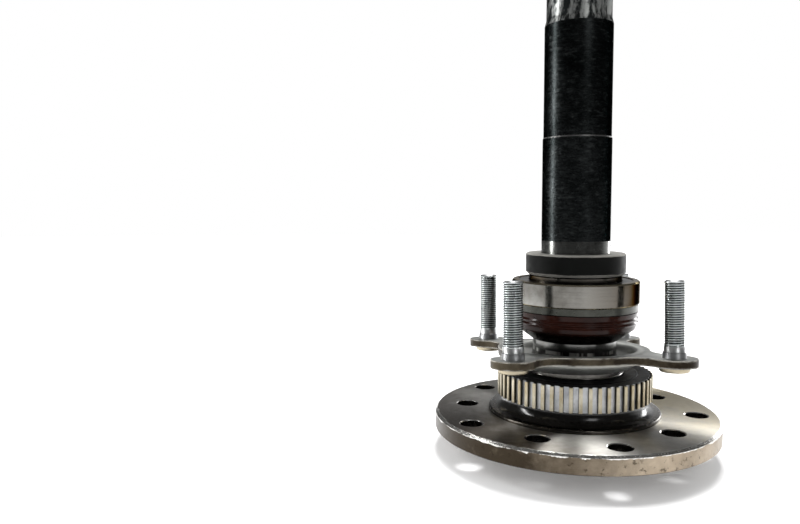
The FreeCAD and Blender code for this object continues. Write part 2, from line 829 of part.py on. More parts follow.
def draw_plate_outline(sketch):
    """Round waist with an ear at each stud. The arcs meet tangentially, in a closed chain."""
    waist, ear, blend = size("plate_waist_radius"), size("plate_ear_radius"), size("plate_ear_blend")
    half = size("stud_spacing") / 2
    # triangle of the plate's centre, a stud's centre and the centre of the blend between them
    to_blend = blend.value + waist.value
    blend_to_stud = blend.value + ear.value
    to_stud = half.value * math.sqrt(2)
    swing = math.degrees(math.acos(
        (to_blend ** 2 + to_stud ** 2 - blend_to_stud ** 2) / (2 * to_blend * to_stud)))
    ear_swing = math.degrees(math.acos(
        (blend_to_stud ** 2 + to_stud ** 2 - to_blend ** 2) / (2 * blend_to_stud * to_stud)))
    chain = []
    for quarter in range(4):
        middle = 45 + 90 * quarter
        stud = polar(to_stud, middle)
        foot, foot_after = polar(waist.value, middle - swing), polar(waist.value, middle + swing)
        tip = polar(ear.value, middle + 180 + ear_swing, stud)
        tip_after = polar(ear.value, middle + 180 - ear_swing, stud)
        for start, end, about in ((foot, tip, polar(to_blend, middle - swing)),
                                  (tip, tip_after, None),
                                  (tip_after, foot_after, polar(to_blend, middle + swing))):
            if about is None:
                arc, first = add_arc(sketch, start, polar(ear.value, middle, stud), end)
                across = half if stud.x > 0 else -half
                along = half if stud.y > 0 else -half
                pin_point(sketch, arc, 3, across, along)
                fix_radius(sketch, arc, ear)
            else:
                inward = (start + end - about * 2).normalize()
                arc, first = add_arc(sketch, start, about + inward * blend.value, end)
                fix_radius(sketch, arc, blend)
            chain.append((arc, first))
        arc, first = add_arc(sketch, foot_after, polar(waist.value, middle + 45),
                             polar(waist.value, middle + 90 - swing))
        sketch.addConstraint(Sketcher.Constraint("Coincident", arc, 3, -1, 1))
        if quarter == 0:
            fix_radius(sketch, arc, waist)
        chain.append((arc, first))
    for i, (arc, first) in enumerate(chain):
        after, after_first = chain[(i + 1) % len(chain)]
        sketch.addConstraint(Sketcher.Constraint("Tangent", arc, 3 - first, after, after_first))
    waists = [arc for arc, first in chain[3::4]]
    for arc in waists[1:]:
        sketch.addConstraint(Sketcher.Constraint("Equal", waists[0], arc))


def make_retainer_plate():
    """Pressed plate with a drawn dish round the seal and four ears for the studs."""
    body = new_body("retainer_plate")
    under = size("dish_depth")
    top = under + size("plate_thickness")
    dish = size("dish_radius")
    floor = size("dish_floor")
    bore = dish_bore_radius
    outline = new_sketch(body, "plate_outline", "XY_Plane")
    bind(outline, "AttachmentOffset.Base.z", under)
    draw_plate_outline(outline)
    pad = body.newObject("PartDesign::Pad", "plate")
    pad.Profile = outline
    bind(pad, "Length", size("plate_thickness"))
    body.Tip = pad
    turned(body, "dish", [
        (bore - overcut, 0),
        (dish, 0, size("dish_corner")),
        (dish, under, size("dish_neck_round")),
        (dish + floor, under),
        (dish + floor, under + overcut),
        (bore - overcut, under + overcut)])
    turned(body, "dish_hollow", [
        (0, -overcut),
        (bore, -overcut),
        (bore, floor),
        (dish - floor, floor, size("dish_inner_round")),
        (dish - floor, top, size("dish_mouth_round")),
        (dish + floor, top),
        (dish + floor, top + overcut),
        (0, top + overcut)], cut=True)
    half = size("stud_spacing") / 2
    sketch = new_sketch(body, "stud_hole_section", "XY_Plane")
    draw_circle(sketch, half, half, size("stud_shoulder_radius"))
    hole = body.newObject("PartDesign::Pocket", "stud_hole")
    hole.Profile = sketch
    hole.Reversed = True
    bind(hole, "Length", top + overcut)
    body.Tip = hole
    around(body, "stud_holes", hole, as_size(4))
    tilted(body, as_size(0), as_size(0), as_size(0))
    return body


def make_stud(number, across, along):
    """Stud with its head under the plate, a shoulder through it and a threaded length above."""
    body = new_body("retainer_stud_%d" % number)
    under = -size("plate_thickness")
    shoulder = size("stud_shoulder_radius")
    thread = size("stud_radius")
    step = shoulder - thread
    turned(body, "stud", [
        (0, under - size("stud_head_height")),
        (size("stud_head_radius"), under - size("stud_head_height"), size("stud_head_round")),
        (size("stud_head_radius"), under),
        (shoulder, under),
        (shoulder, size("stud_shoulder_height") - step),
        (thread, size("stud_shoulder_height")),
        (thread, size("stud_length") - size("stud_chamfer")),
        (thread - size("stud_chamfer"), size("stud_length")),
        (0, size("stud_length"))])
    lift = size("dish_depth") + size("plate_thickness")
    tilted(body, across, along, lift)
    return body


def make_studs():
    half = size("stud_spacing") / 2
    corners = [(-half, half), (-half, -half), (half, -half), (half, half)]
    return [make_stud(i, across, along) for i, (across, along) in enumerate(corners, start=1)]


def check_document():
    for thing in doc.Objects:
        if "Invalid" in thing.State or "Error" in thing.State:
            raise RuntimeError("%s failed: %s" % (thing.Name, thing.State))


def main():
    pieces = [make_axle_shaft(), make_hub_cap(), make_cap_disc(), make_tone_ring(),
              make_inner_ring(), make_lock_ring(), make_outer_race(), make_shield(),
              make_seal_case(), make_seal_rubber(), make_seal_spring(),
              cage_half("cage_upper", True), cage_half("cage_lower", False), make_cage_rivets()]
    pieces += make_balls()
    pieces += [make_retainer_plate()] + make_studs()
    doc.recompute()
    check_document()
    for piece in pieces:
        if piece.Shape.isNull() or not piece.Shape.isValid():
            raise RuntimeError("%s has no valid shape" % piece.Label)
    os.makedirs("parts", exist_ok=True)
    for piece in pieces:
        piece.Shape.exportStep("parts/%s.step" % piece.Label)
        print("%-20s %10.1f mm3" % (piece.Label, piece.Shape.Volume))


main()
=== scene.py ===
import bpy
import bmesh
import math
from mathutils import Matrix, Vector


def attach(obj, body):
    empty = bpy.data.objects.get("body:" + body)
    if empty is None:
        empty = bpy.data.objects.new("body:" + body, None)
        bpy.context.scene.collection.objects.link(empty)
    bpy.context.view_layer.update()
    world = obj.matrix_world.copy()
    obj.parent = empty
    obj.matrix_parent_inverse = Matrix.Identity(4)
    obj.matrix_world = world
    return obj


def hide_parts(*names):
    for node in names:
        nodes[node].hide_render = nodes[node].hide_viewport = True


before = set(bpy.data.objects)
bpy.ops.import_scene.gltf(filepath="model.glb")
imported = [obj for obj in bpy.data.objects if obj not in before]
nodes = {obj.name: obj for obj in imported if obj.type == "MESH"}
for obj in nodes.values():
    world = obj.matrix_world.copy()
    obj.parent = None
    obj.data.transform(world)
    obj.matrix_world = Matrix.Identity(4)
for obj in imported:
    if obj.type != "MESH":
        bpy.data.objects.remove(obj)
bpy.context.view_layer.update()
print("frame loaded")

mm = 0.001  # metres; lengths below are in millimetres unless a note says otherwise

# photo's camera, worked out from the bolt circles and the shaft's outline
cameraSet = {
    "place": (-114.55, -420.47, 145.97),
    "yaw": 0.0258,  # radians, to the right of the back direction
    "pitch": -0.0798,
    "roll": -0.0036,
    "lens": 32.307,
    "sensor": 36.0,
}


def addCamera():
    yaw, pitch, roll = cameraSet["yaw"], cameraSet["pitch"], cameraSet["roll"]
    forward = Vector((math.sin(yaw) * math.cos(pitch), math.cos(yaw) * math.cos(pitch), math.sin(pitch)))
    level = Vector((math.cos(yaw), -math.sin(yaw), 0))
    over = level.cross(forward)
    right = level * math.cos(roll) + over * math.sin(roll)
    up = over * math.cos(roll) - level * math.sin(roll)
    data = bpy.data.cameras.new("photoCamera")
    data.lens = cameraSet["lens"]
    data.sensor_width = cameraSet["sensor"]
    data.clip_end = 20  # metres
    camera = bpy.data.objects.new("photoCamera", data)
    turn = Matrix((right, up, -forward)).transposed().to_4x4()
    camera.matrix_world = Matrix.Translation(Vector(cameraSet["place"]) * mm) @ turn
    bpy.context.scene.collection.objects.link(camera)
    bpy.context.scene.camera = camera


addCamera()
print("camera set")


# short ways to build node materials

class Paint:
    # one node material; each call adds a node and gives back its output
    def __init__(self, name):
        self.material = bpy.data.materials.new(name)
        self.material.use_nodes = True
        self.tree = self.material.node_tree
        self.shader = self.tree.nodes["Principled BSDF"]
        self.place = self.add("ShaderNodeTexCoord").outputs["Object"]
        self.apart = None

    def add(self, kind, **settings):
        node = self.tree.nodes.new(kind)
        for key, value in settings.items():
            setattr(node, key, value)
        return node

    def link(self, socket, value):
        if isinstance(value, bpy.types.NodeSocket):
            self.tree.links.new(value, socket)
        else:
            socket.default_value = value

    def axis(self, name):
        if self.apart is None:
            self.apart = self.add("ShaderNodeSeparateXYZ")
            self.link(self.apart.inputs[0], self.place)
        return self.apart.outputs[name]

    def sum(self, kind, one, two=0.0):
        # one step of arithmetic; kind is Blender's name for it
        node = self.add("ShaderNodeMath", operation=kind)
        self.link(node.inputs[0], one)
        self.link(node.inputs[1], two)
        return node.outputs[0]

    def radius(self):
        # distance from the part's axis, in metres as all positions are
        across = self.sum("MULTIPLY", self.axis("X"), self.axis("X"))
        along = self.sum("MULTIPLY", self.axis("Y"), self.axis("Y"))
        return self.sum("SQRT", self.sum("ADD", across, along))

    def vector(self, x, y, z):
        node = self.add("ShaderNodeCombineXYZ")
        for socket, value in zip(node.inputs, (x, y, z)):
            self.link(socket, value)
        return node.outputs[0]

    def noise(self, scale, detail=4.0, rough=0.55, at=None):
        node = self.add("ShaderNodeTexNoise")
        self.link(node.inputs["Vector"], self.place if at is None else at)
        node.inputs["Scale"].default_value = scale
        node.inputs["Detail"].default_value = detail
        node.inputs["Roughness"].default_value = rough
        return node.outputs["Fac"]

    def edges(self, width):
        # 0 on flat metal, 1 along its sharp edges; width in millimetres
        rounded = self.add("ShaderNodeBevel", samples=4)
        rounded.inputs["Radius"].default_value = width * mm
        turn = self.add("ShaderNodeVectorMath", operation="DOT_PRODUCT")
        self.link(turn.inputs[0], rounded.outputs[0])
        self.link(turn.inputs[1], self.add("ShaderNodeNewGeometry").outputs["Normal"])
        return self.spread(turn.outputs["Value"], 0.985, 0.82)

    def toward(self, side, start, width):
        # 1 on the part's far side in the direction given, with a ragged limit; lengths in millimetres
        along = self.add("ShaderNodeVectorMath", operation="DOT_PRODUCT")
        self.link(along.inputs[0], self.place)
        along.inputs[1].default_value = side
        ragged = self.spread(self.noise(46.0, 5.0, 0.65), 0.3, 0.7, -width * mm / 3, width * mm / 3)
        reach = self.sum("ADD", along.outputs["Value"], ragged)
        return self.spread(reach, start * mm, (start + width) * mm)

    def upright(self):
        # 1 on walls that stand up, 0 on level faces
        facing = self.add("ShaderNodeSeparateXYZ")
        self.link(facing.inputs[0], self.add("ShaderNodeNewGeometry").outputs["Normal"])
        return self.spread(self.sum("ABSOLUTE", facing.outputs["Z"]), 0.7, 0.35)

    def spread(self, value, low, high, outLow=0.0, outHigh=1.0):
        # stretches low..high to outLow..outHigh and holds the ends
        node = self.add("ShaderNodeMapRange", clamp=True)
        self.link(node.inputs["Value"], value)
        node.inputs["From Min"].default_value = low
        node.inputs["From Max"].default_value = high
        node.inputs["To Min"].default_value = outLow
        node.inputs["To Max"].default_value = outHigh
        return node.outputs["Result"]

    def blend(self, share, one, two):
        node = self.add("ShaderNodeMix", data_type="RGBA")
        self.link(node.inputs["Factor"], share)
        self.link(node.inputs[6], rgba(one))  # the mix node's two colour inputs
        self.link(node.inputs[7], rgba(two))
        return node.outputs[2]

    def bump(self, height, strength, depth):
        node = self.add("ShaderNodeBump")
        node.inputs["Strength"].default_value = strength
        node.inputs["Distance"].default_value = depth * mm
        self.link(node.inputs["Height"], height)
        return node.outputs["Normal"]

    def aroundAxis(self, amount):
        # stretches reflections across the turning marks, which run round Z
        tangent = self.add("ShaderNodeTangent", direction_type="RADIAL", axis="Z")
        self.link(self.shader.inputs["Tangent"], tangent.outputs[0])
        self.shader.inputs["Anisotropic"].default_value = amount
        self.shader.inputs["Anisotropic Rotation"].default_value = 0.25  # a quarter turn: across the marks

    def finish(self, **values):
        # sets the shader's sockets; glance tints the metal where it is seen edge on
        sockets = {"color": "Base Color", "metal": "Metallic", "rough": "Roughness", "normal": "Normal",
                   "specular": "Specular IOR Level", "glance": "Specular Tint"}
        for key, value in values.items():
            socket = self.shader.inputs[sockets[key]]
            self.link(socket, rgba(value) if key in ("color", "glance") else value)
        return self.material


def rgba(value):
    # a socket or a full colour stays, a plain (r, g, b) gets its alpha
    if isinstance(value, bpy.types.NodeSocket) or len(value) == 4:
        return value
    return tuple(value) + (1.0,)


# short ways to build meshes

def roundCorners(corners, steps=4):
    # corners are (radius, height) or (radius, height, rounding); gives the rounded line
    line = []
    for i, corner in enumerate(corners):
        here = Vector(corner[:2])
        if len(corner) < 3 or i in (0, len(corners) - 1):
            line.append(here)
            continue
        toBefore = (Vector(corners[i - 1][:2]) - here).normalized()
        toAfter = (Vector(corners[i + 1][:2]) - here).normalized()
        half = toBefore.angle(toAfter) / 2
        reach = corner[2] / math.tan(half)
        centre = here + (toBefore + toAfter).normalized() * (corner[2] / math.sin(half))
        start = here + toBefore * reach - centre
        end = here + toAfter * reach - centre
        sweep = start.angle_signed(end)
        for k in range(steps + 1):
            turned = start.copy()
            turned.rotate(Matrix.Rotation(-sweep * k / steps, 2))
            line.append(centre + turned)
    return line


def keepObject(name, mesh, sharp=30):
    # sharp is the angle in degrees from which an edge is shaded as a hard one
    mesh.set_sharp_from_angle(angle=math.radians(sharp))
    thing = bpy.data.objects.new(name, mesh)
    bpy.context.scene.collection.objects.link(thing)
    return thing


def latheMesh(name, line, segments, closed=False, reach=None):
    # turns a line of (radius, height) about Z; reach(radius, height, angle) may trim the radius
    work = bmesh.new()
    rows = []
    for r, z in line:
        if r < 1e-6:  # a point on the axis
            rows.append([work.verts.new((0, 0, z * mm))])
            continue
        row = []
        for k in range(segments):
            angle = 2 * math.pi * k / segments
            out = reach(r, z, angle) if reach else r
            row.append(work.verts.new((out * math.cos(angle) * mm, out * math.sin(angle) * mm, z * mm)))
        rows.append(row)
    pairs = list(zip(rows, rows[1:]))
    if closed:
        pairs.append((rows[-1], rows[0]))
    for low, high in pairs:
        if len(low) == 1 and len(high) == 1:
            continue
        for k in range(segments):
            n = (k + 1) % segments
            if len(low) == 1:
                face = (low[0], high[n], high[k])
            elif len(high) == 1:
                face = (low[k], low[n], high[0])
            else:
                face = (low[k], low[n], high[n], high[k])
            work.faces.new(face).smooth = True
    bmesh.ops.recalc_face_normals(work, faces=work.faces)
    mesh = bpy.data.meshes.new(name)
    work.to_mesh(mesh)
    work.free()
    return mesh


def dressed(node, thing, body):
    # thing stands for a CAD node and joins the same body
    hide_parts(node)
    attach(thing, body)


# finishes
# a side shade is (direction, start, width, share, colour), as Paint.toward takes them: a colour laid over
# one side of a part as painted shade or painted light

def turnedSteel(name, dark, light, warm, rough, flat=False, brightFrom=None, pits=0.0, sideShades=()):
    # lathe-turned steel: fine rings, soft colour clouds, a few rust-brown stains;
    # flat is for faces square to the axis, pits is how dark the rust pits are,
    # brightFrom is the radius (flat) or height from which a painted highlight lightens the metal;
    # each side shade lays painted shade or painted light over one side
    paint = Paint(name)
    rings = paint.radius() if flat else paint.axis("Z")
    lines = paint.noise(2600.0, 3.0, 0.6, paint.vector(rings, 0.0, 0.0))
    clouds = paint.noise(24.0, 5.0, 0.6)
    fine = paint.noise(420.0, 3.0, 0.6)
    base = paint.blend(paint.spread(clouds, 0.32, 0.68), dark, light)
    stain = paint.spread(paint.noise(13.0, 6.0, 0.65), 0.52, 0.72)
    base = paint.blend(paint.sum("MULTIPLY", stain, 0.55), base, warm)
    base = paint.blend(paint.spread(lines, 0.30, 0.70, 0.0, 0.22), base, light)
    roughness = paint.sum("ADD", rough, paint.spread(paint.sum("ADD", lines, fine), 0.7, 1.3, -0.07, 0.07))
    height = paint.sum("ADD", lines, paint.sum("MULTIPLY", fine, 0.5))
    if pits:
        pocks = paint.spread(paint.noise(300.0, 5.0, 0.7), 0.57, 0.66)
        base = paint.blend(paint.sum("MULTIPLY", pocks, pits), base, tuple(c * 0.2 for c in warm))
        height = paint.sum("SUBTRACT", height, paint.sum("MULTIPLY", pocks, 2.0))
    # painted shade or painted light over one side of the part
    for side, start, width, share, color in sideShades:
        base = paint.blend(paint.sum("MULTIPLY", paint.toward(side, start, width), share), base, color)
    # painted highlight: the metal is lightened above the given radius or height, where the edge catches the
    # light
    if brightFrom:
        ragged = paint.spread(paint.noise(150.0, 5.0, 0.7), 0.3, 0.7, -0.9 * mm, 0.9 * mm)
        rubAndHighlight = paint.spread(paint.sum("ADD", rings, ragged), brightFrom * mm, (brightFrom + 0.3) * mm)
        base = paint.blend(rubAndHighlight, base, (0.74, 0.73, 0.70))
    if flat:
        paint.aroundAxis(0.94)
    return paint.finish(color=base, metal=1.0, rough=roughness, normal=paint.bump(height, 0.25, 0.02))


def forgeScale(name):
    # black scale of a forged shaft: blue-grey sheen, faint marks round it, pits and bare specks
    paint = Paint(name)
    stretched = paint.vector(paint.axis("X"), paint.axis("Y"), paint.sum("MULTIPLY", paint.axis("Z"), 3.0))
    mottle = paint.noise(210.0, 6.0, 0.74, stretched)
    clouds = paint.noise(38.0, 5.0, 0.6)
    pits = paint.spread(paint.noise(520.0, 4.0, 0.7), 0.56, 0.70)
    base = paint.blend(paint.spread(clouds, 0.35, 0.66), (0.008, 0.0095, 0.0095), (0.026, 0.029, 0.0295))
    base = paint.blend(paint.spread(mottle, 0.55, 0.74, 0.0, 0.6), base, (0.085, 0.092, 0.090))
    roughness = paint.spread(mottle, 0.35, 0.65, 0.20, 0.36)
    height = paint.sum("SUBTRACT", mottle, paint.sum("MULTIPLY", pits, 0.8))
    return paint.finish(color=base, metal=1.0, rough=roughness, glance=(0.10, 0.11, 0.11),
                        normal=paint.bump(height, 0.4, 0.12))


def scuffedScale(name):
    # the same scale worn grey where a tool has rubbed it
    paint = Paint(name)
    stretched = paint.vector(paint.axis("X"), paint.axis("Y"), paint.sum("MULTIPLY", paint.axis("Z"), 0.30))
    mottle = paint.noise(210.0, 6.0, 0.75, stretched)
    # the rubbing fades out up the neck into plain scale
    fade = paint.spread(paint.axis("Z"), 289 * mm, 262 * mm, 0.02, 1.0)
    scuffs = paint.sum("MULTIPLY", paint.spread(mottle, 0.46, 0.58), fade)
    base = paint.blend(scuffs, (0.010, 0.012, 0.012), (0.34, 0.35, 0.34))
    return paint.finish(color=base, metal=0.8, rough=paint.spread(mottle, 0.4, 0.6, 0.50, 0.30),
                        glance=(0.4, 0.4, 0.4), normal=paint.bump(mottle, 0.6, 0.25))


def groundSteel(name, dark, light, rough, warm=(0.42, 0.34, 0.24), glance=(1.0, 1.0, 1.0),
                sideShades=(), level=None, dashes=None):
    # ground and polished: faint scratches round the axis, light oil stains;
    # level is a lighter colour for the flat faces, painted light where light falls on them;
    # dashes is the height of a row of bright dashes, painted reflections;
    # each side shade lays painted shade or painted light over one side
    paint = Paint(name)
    slow = paint.sum("MULTIPLY", paint.axis("X"), 0.01)
    scratch = paint.noise(3200.0, 2.0, 0.5, paint.vector(paint.axis("Z"), slow, 0.0))
    clouds = paint.noise(46.0, 5.0, 0.6)
    base = paint.blend(paint.spread(clouds, 0.35, 0.68), dark, light)
    base = paint.blend(paint.spread(paint.noise(30.0, 5.0, 0.6), 0.56, 0.75, 0.0, 0.4), base, warm)
    # painted shade or painted light over one side of the part
    for side, start, width, share, color in sideShades:
        base = paint.blend(paint.sum("MULTIPLY", paint.toward(side, start, width), share), base, color)
    # painted reflections: a row of bright dashes round the part
    if dashes:
        away = paint.sum("ABSOLUTE", paint.sum("SUBTRACT", paint.axis("Z"), dashes * mm))
        row = paint.sum("SUBTRACT", 1.0, paint.spread(away, 0.7 * mm, 1.3 * mm))
        around = paint.vector(paint.axis("X"), paint.axis("Y"), 0.0)
        marks = paint.spread(paint.noise(150.0, 2.0, 0.5, around), 0.50, 0.56)
        base = paint.blend(paint.sum("MULTIPLY", row, marks), base, (0.85, 0.85, 0.83))
    # painted light on the flat faces
    if level:
        base = paint.blend(paint.upright(), level, base)
    roughness = paint.sum("ADD", rough, paint.spread(scratch, 0.3, 0.7, -0.05, 0.08))
    return paint.finish(color=base, metal=1.0, rough=roughness, glance=glance,
                        normal=paint.bump(scratch, 0.12, 0.01))


def sheetSteel(name, dark, light, rough):
    # dull rolled sheet: cloudy, with small pocks and rubbed spots
    paint = Paint(name)
    clouds = paint.noise(55.0, 6.0, 0.65)
    grain = paint.noise(900.0, 3.0, 0.6)
    spots = paint.spread(paint.noise(150.0, 4.0, 0.6), 0.60, 0.74)
    base = paint.blend(paint.spread(clouds, 0.34, 0.68), dark, light)
    base = paint.blend(paint.sum("MULTIPLY", spots, 0.5), base, dark)
    roughness = paint.spread(clouds, 0.3, 0.7, rough - 0.06, rough + 0.08)
    return paint.finish(color=base, metal=0.9, rough=roughness,
                        normal=paint.bump(paint.sum("ADD", grain, clouds), 0.2, 0.06))


def pressedPlate(name):
    # retainer plate: dull grey faces, a dish lightened as painted light, sheared edges rust brown and darker
    # on their upright sides as painted shade, corners rubbed bright as wear and painted highlight
    paint = Paint(name)
    clouds = paint.noise(55.0, 6.0, 0.65)
    grain = paint.noise(900.0, 3.0, 0.6)
    face = paint.blend(paint.spread(clouds, 0.34, 0.68), (0.15, 0.152, 0.145), (0.32, 0.325, 0.31))
    spots = paint.spread(paint.noise(150.0, 4.0, 0.6), 0.60, 0.74, 0.0, 0.5)
    face = paint.blend(spots, face, (0.08, 0.072, 0.058))
    # painted light: the drawn dish is lightened where its curved wall catches the light
    drawn = paint.spread(paint.radius(), 40.5 * mm, 38.5 * mm, 0.0, 0.35)
    face = paint.blend(drawn, face, (0.62, 0.62, 0.59))
    # rust brown on the sheared outer sides, darkened there as painted shade
    sheared = paint.blend(paint.spread(clouds, 0.4, 0.62), (0.018, 0.013, 0.008), (0.075, 0.062, 0.042))
    outside = paint.spread(paint.radius(), 41.5 * mm, 43.0 * mm)
    base = paint.blend(paint.sum("MULTIPLY", outside, paint.upright()), face, sheared)
    # wear and painted highlight: the corners are lightened in patches
    worn = paint.spread(paint.noise(120.0, 4.0, 0.65), 0.34, 0.50)
    rubAndHighlight = paint.sum("MULTIPLY", paint.edges(1.6), worn)
    base = paint.blend(rubAndHighlight, base, (0.56, 0.54, 0.49))
    return paint.finish(color=base, metal=0.9, rough=paint.spread(clouds, 0.3, 0.7, 0.44, 0.56),
                        normal=paint.bump(paint.sum("ADD", grain, clouds), 0.2, 0.06))


def sinteredTeeth(name):
    # tone ring: cream worn lands on the tooth tips, blue-grey floors, flanks darkened as painted shade, and
    # a near-black top that is painted shade under the plate
    paint = Paint(name)
    tip = paint.spread(paint.radius(), (toneRing["tip"] - 0.9) * mm, (toneRing["tip"] - 0.2) * mm)
    grain = paint.noise(700.0, 4.0, 0.65)
    clouds = paint.noise(90.0, 4.0, 0.6)
    floor = paint.blend(paint.spread(clouds, 0.35, 0.65), (0.34, 0.35, 0.365), (0.54, 0.55, 0.56))
    land = paint.blend(paint.spread(clouds, 0.35, 0.65), (0.36, 0.30, 0.19), (0.56, 0.515, 0.40))
    # painted shade on the tooth flanks, between floor and tip, where they lie in shadow
    foot = toneRing["tip"] - toneRing["depth"]
    flank = paint.spread(paint.radius(), (foot + 0.06) * mm, (foot + 0.2) * mm)
    side = paint.blend(tip, paint.blend(flank, floor, (0.012, 0.011, 0.010)), land)
    side = paint.blend(paint.spread(grain, 0.62, 0.75, 0.0, 0.5), side, (0.16, 0.13, 0.10))
    return paint.finish(color=side, metal=0.75, rough=paint.spread(grain, 0.3, 0.7, 0.34, 0.50),
                        normal=paint.bump(grain, 0.3, 0.05))


def blackAndShade(name, dark, light, rough, specular=0.2, level=None):
    # black oxide, slightly cloudy and finely grained; also a near-black painted shade on the hub and the
    # tone ring's top;
    # level is a lighter colour for its level faces, painted light where light falls on them, and its edges
    # then get a painted highlight
    paint = Paint(name)
    grain = paint.noise(300.0, 5.0, 0.65)
    clouds = paint.noise(40.0, 4.0, 0.6)
    base = paint.blend(paint.spread(clouds, 0.34, 0.68), dark, light)
    # painted light on the level faces, and a painted highlight along the edges, in patches
    if level:
        base = paint.blend(paint.upright(), level, base)
        worn = paint.spread(paint.noise(90.0, 4.0, 0.65), 0.36, 0.54)
        rubAndHighlight = paint.sum("MULTIPLY", paint.edges(0.9), worn)
        base = paint.blend(rubAndHighlight, base, tuple(c * 2.4 for c in level))
    return paint.finish(color=base, rough=paint.spread(grain, 0.3, 0.7, rough - 0.06, rough + 0.08),
                        specular=specular, normal=paint.bump(grain, 0.25, 0.06))


def mouldedRubber(name):
    # dark maroon rubber, glossy on the ribs, with a faint moulding grain
    paint = Paint(name)
    grain = paint.noise(650.0, 4.0, 0.6)
    clouds = paint.noise(60.0, 4.0, 0.6)
    base = paint.blend(paint.spread(clouds, 0.35, 0.66), (0.010, 0.0025, 0.0014), (0.026, 0.0066, 0.0038))
    # the cone under the ribs is painted nearly black: painted shade below the ribs
    ribbed = paint.spread(paint.axis("Z"), 72.5 * mm, 76.5 * mm)
    base = paint.blend(ribbed, (0.002, 0.0015, 0.0012), base)
    return paint.finish(color=base, metal=0.0, rough=paint.spread(grain, 0.3, 0.7, 0.12, 0.22),
                        normal=paint.bump(grain, 0.12, 0.04), specular=0.12)


def zincPlate(name):
    # bright zinc: cool grey with faint milky clouds
    paint = Paint(name)
    clouds = paint.noise(130.0, 4.0, 0.6)
    base = paint.blend(paint.spread(clouds, 0.34, 0.66), (0.50, 0.53, 0.53), (0.70, 0.73, 0.725))
    return paint.finish(color=base, metal=1.0, rough=paint.spread(clouds, 0.3, 0.7, 0.26, 0.32),
                        normal=paint.bump(clouds, 0.02, 0.01))


def coatedCap(name, dark, light, rough):
    # satin coat over pressed steel
    paint = Paint(name)
    clouds = paint.noise(120.0, 4.0, 0.6)
    base = paint.blend(paint.spread(clouds, 0.34, 0.66), dark, light)
    return paint.finish(color=base, rough=paint.spread(clouds, 0.3, 0.7, rough, rough + 0.1),
                        normal=paint.bump(clouds, 0.1, 0.03))


# axle shaft: one lathe line, cut into bands of different finish

shaft = {
    "segments": 280,  # 8 for each of the 35 spline teeth
    "flangeRear": 13.0,
    "flangeFront": 23.4,
    "splineTeeth": 35,
    "splineRadius": 19.05,
    "splineRoot": 17.65,
    "splineFoot": 708.0,
    "splineGap": 0.16,  # half a gap's floor and one flank, as shares of a tooth's pitch
    "splineFlank": 0.13,
    "holeRadius": 6.35,
    "holeChamfer": 0.45,
    "holeCircles": ((139.7, 130.5), (127.0, 166.5)),  # bolt circle and its first hole's angle
    "holesPerCircle": 5,
    "holeSegments": 48,
    "overcut": 1.0,  # how far the drill runs past both faces
}


def splineReach(r, z, angle):
    # trims the splined end to its teeth; all below it keeps its radius
    if z < shaft["splineFoot"] - 0.01 or r < shaft["splineRoot"]:
        return r
    part = (angle * shaft["splineTeeth"] / (2 * math.pi)) % 1.0
    fromGap = abs(part - 0.5)  # 0 in the middle of a gap, 0.5 on a tooth
    share = min(max((fromGap - shaft["splineGap"]) / shaft["splineFlank"], 0.0), 1.0)
    return min(r, shaft["splineRoot"] + (shaft["splineRadius"] - shaft["splineRoot"]) * share)


# the shaft's outline from the pilot's bore up to the top: radius, height, the finish of
# the band that starts there, and the corner's rounding
shaftLine = [
    (0, 16, "bore"), (4.5, 10, "bore"), (22.6, 10, "bore"), (22.6, 2.4, "bore"), (26.3, 2.4, "bore"),
    (26.3, 0, "pilot"), (32.2, 0, "pilot"), (35.7, 3.5, "pilot"), (35.7, 13.0, "faceOut", 2.0),
    (82.0, 13.0, "rim"), (82.5, 13.5, "rim"), (82.5, 22.1, "edge"), (81.2, 23.4, "faceIn", 0.25),
    (50.2, 23.4, "step"), (50.2, 25.4, "step", 1.3), (40.0, 25.4, "hub", 6.0), (40.0, 33.0, "hub"),
    (36.0, 33.0, "hub"), (36.0, 47.4, "hubTop"), (27.8, 47.4, "collar", 0.9), (27.8, 51.0, "journal", 0.6),
    (24.3, 55.9, "journal", 15.0), (24.3, 82.8, "journal"), (23.1, 84.0, "journal"), (19.84, 84.0, "seat"),
    (19.84, 124.6, "body"), (19.8, 124.8, "body"), (19.8, 183.7, "worn", 0.2), (19.4, 184.5, "body", 0.2),
    (19.4, 248.0, "neck", 0.4), (18.5, 251.5, "neck", 0.4), (18.5, 290.0, "body", 6.0),
    (17.3, 335.0, "body", 20.0), (17.3, 708.0, "spline"), (19.05, 715.0, "spline"),
    (19.05, 823.0, "spline"), (17.05, 825.0, "spline"), (4.5, 825.0, "spline"), (0, 819.0, "spline"),
]


def shaftRounded():
    # gives the rounded line and, for each step of it, the band's name
    corners = [(r, z) if not rest else (r, z, rest[0]) for r, z, band, *rest in shaftLine]
    line, bands = [], []
    for i, corner in enumerate(corners):
        piece = roundCorners([corners[i - 1], corner, corners[i + 1]])[1:-1] \
            if 0 < i < len(corners) - 1 else [Vector(corner)]
        line += piece
        bands += [shaftLine[i][2]] * len(piece)
    return line, bands


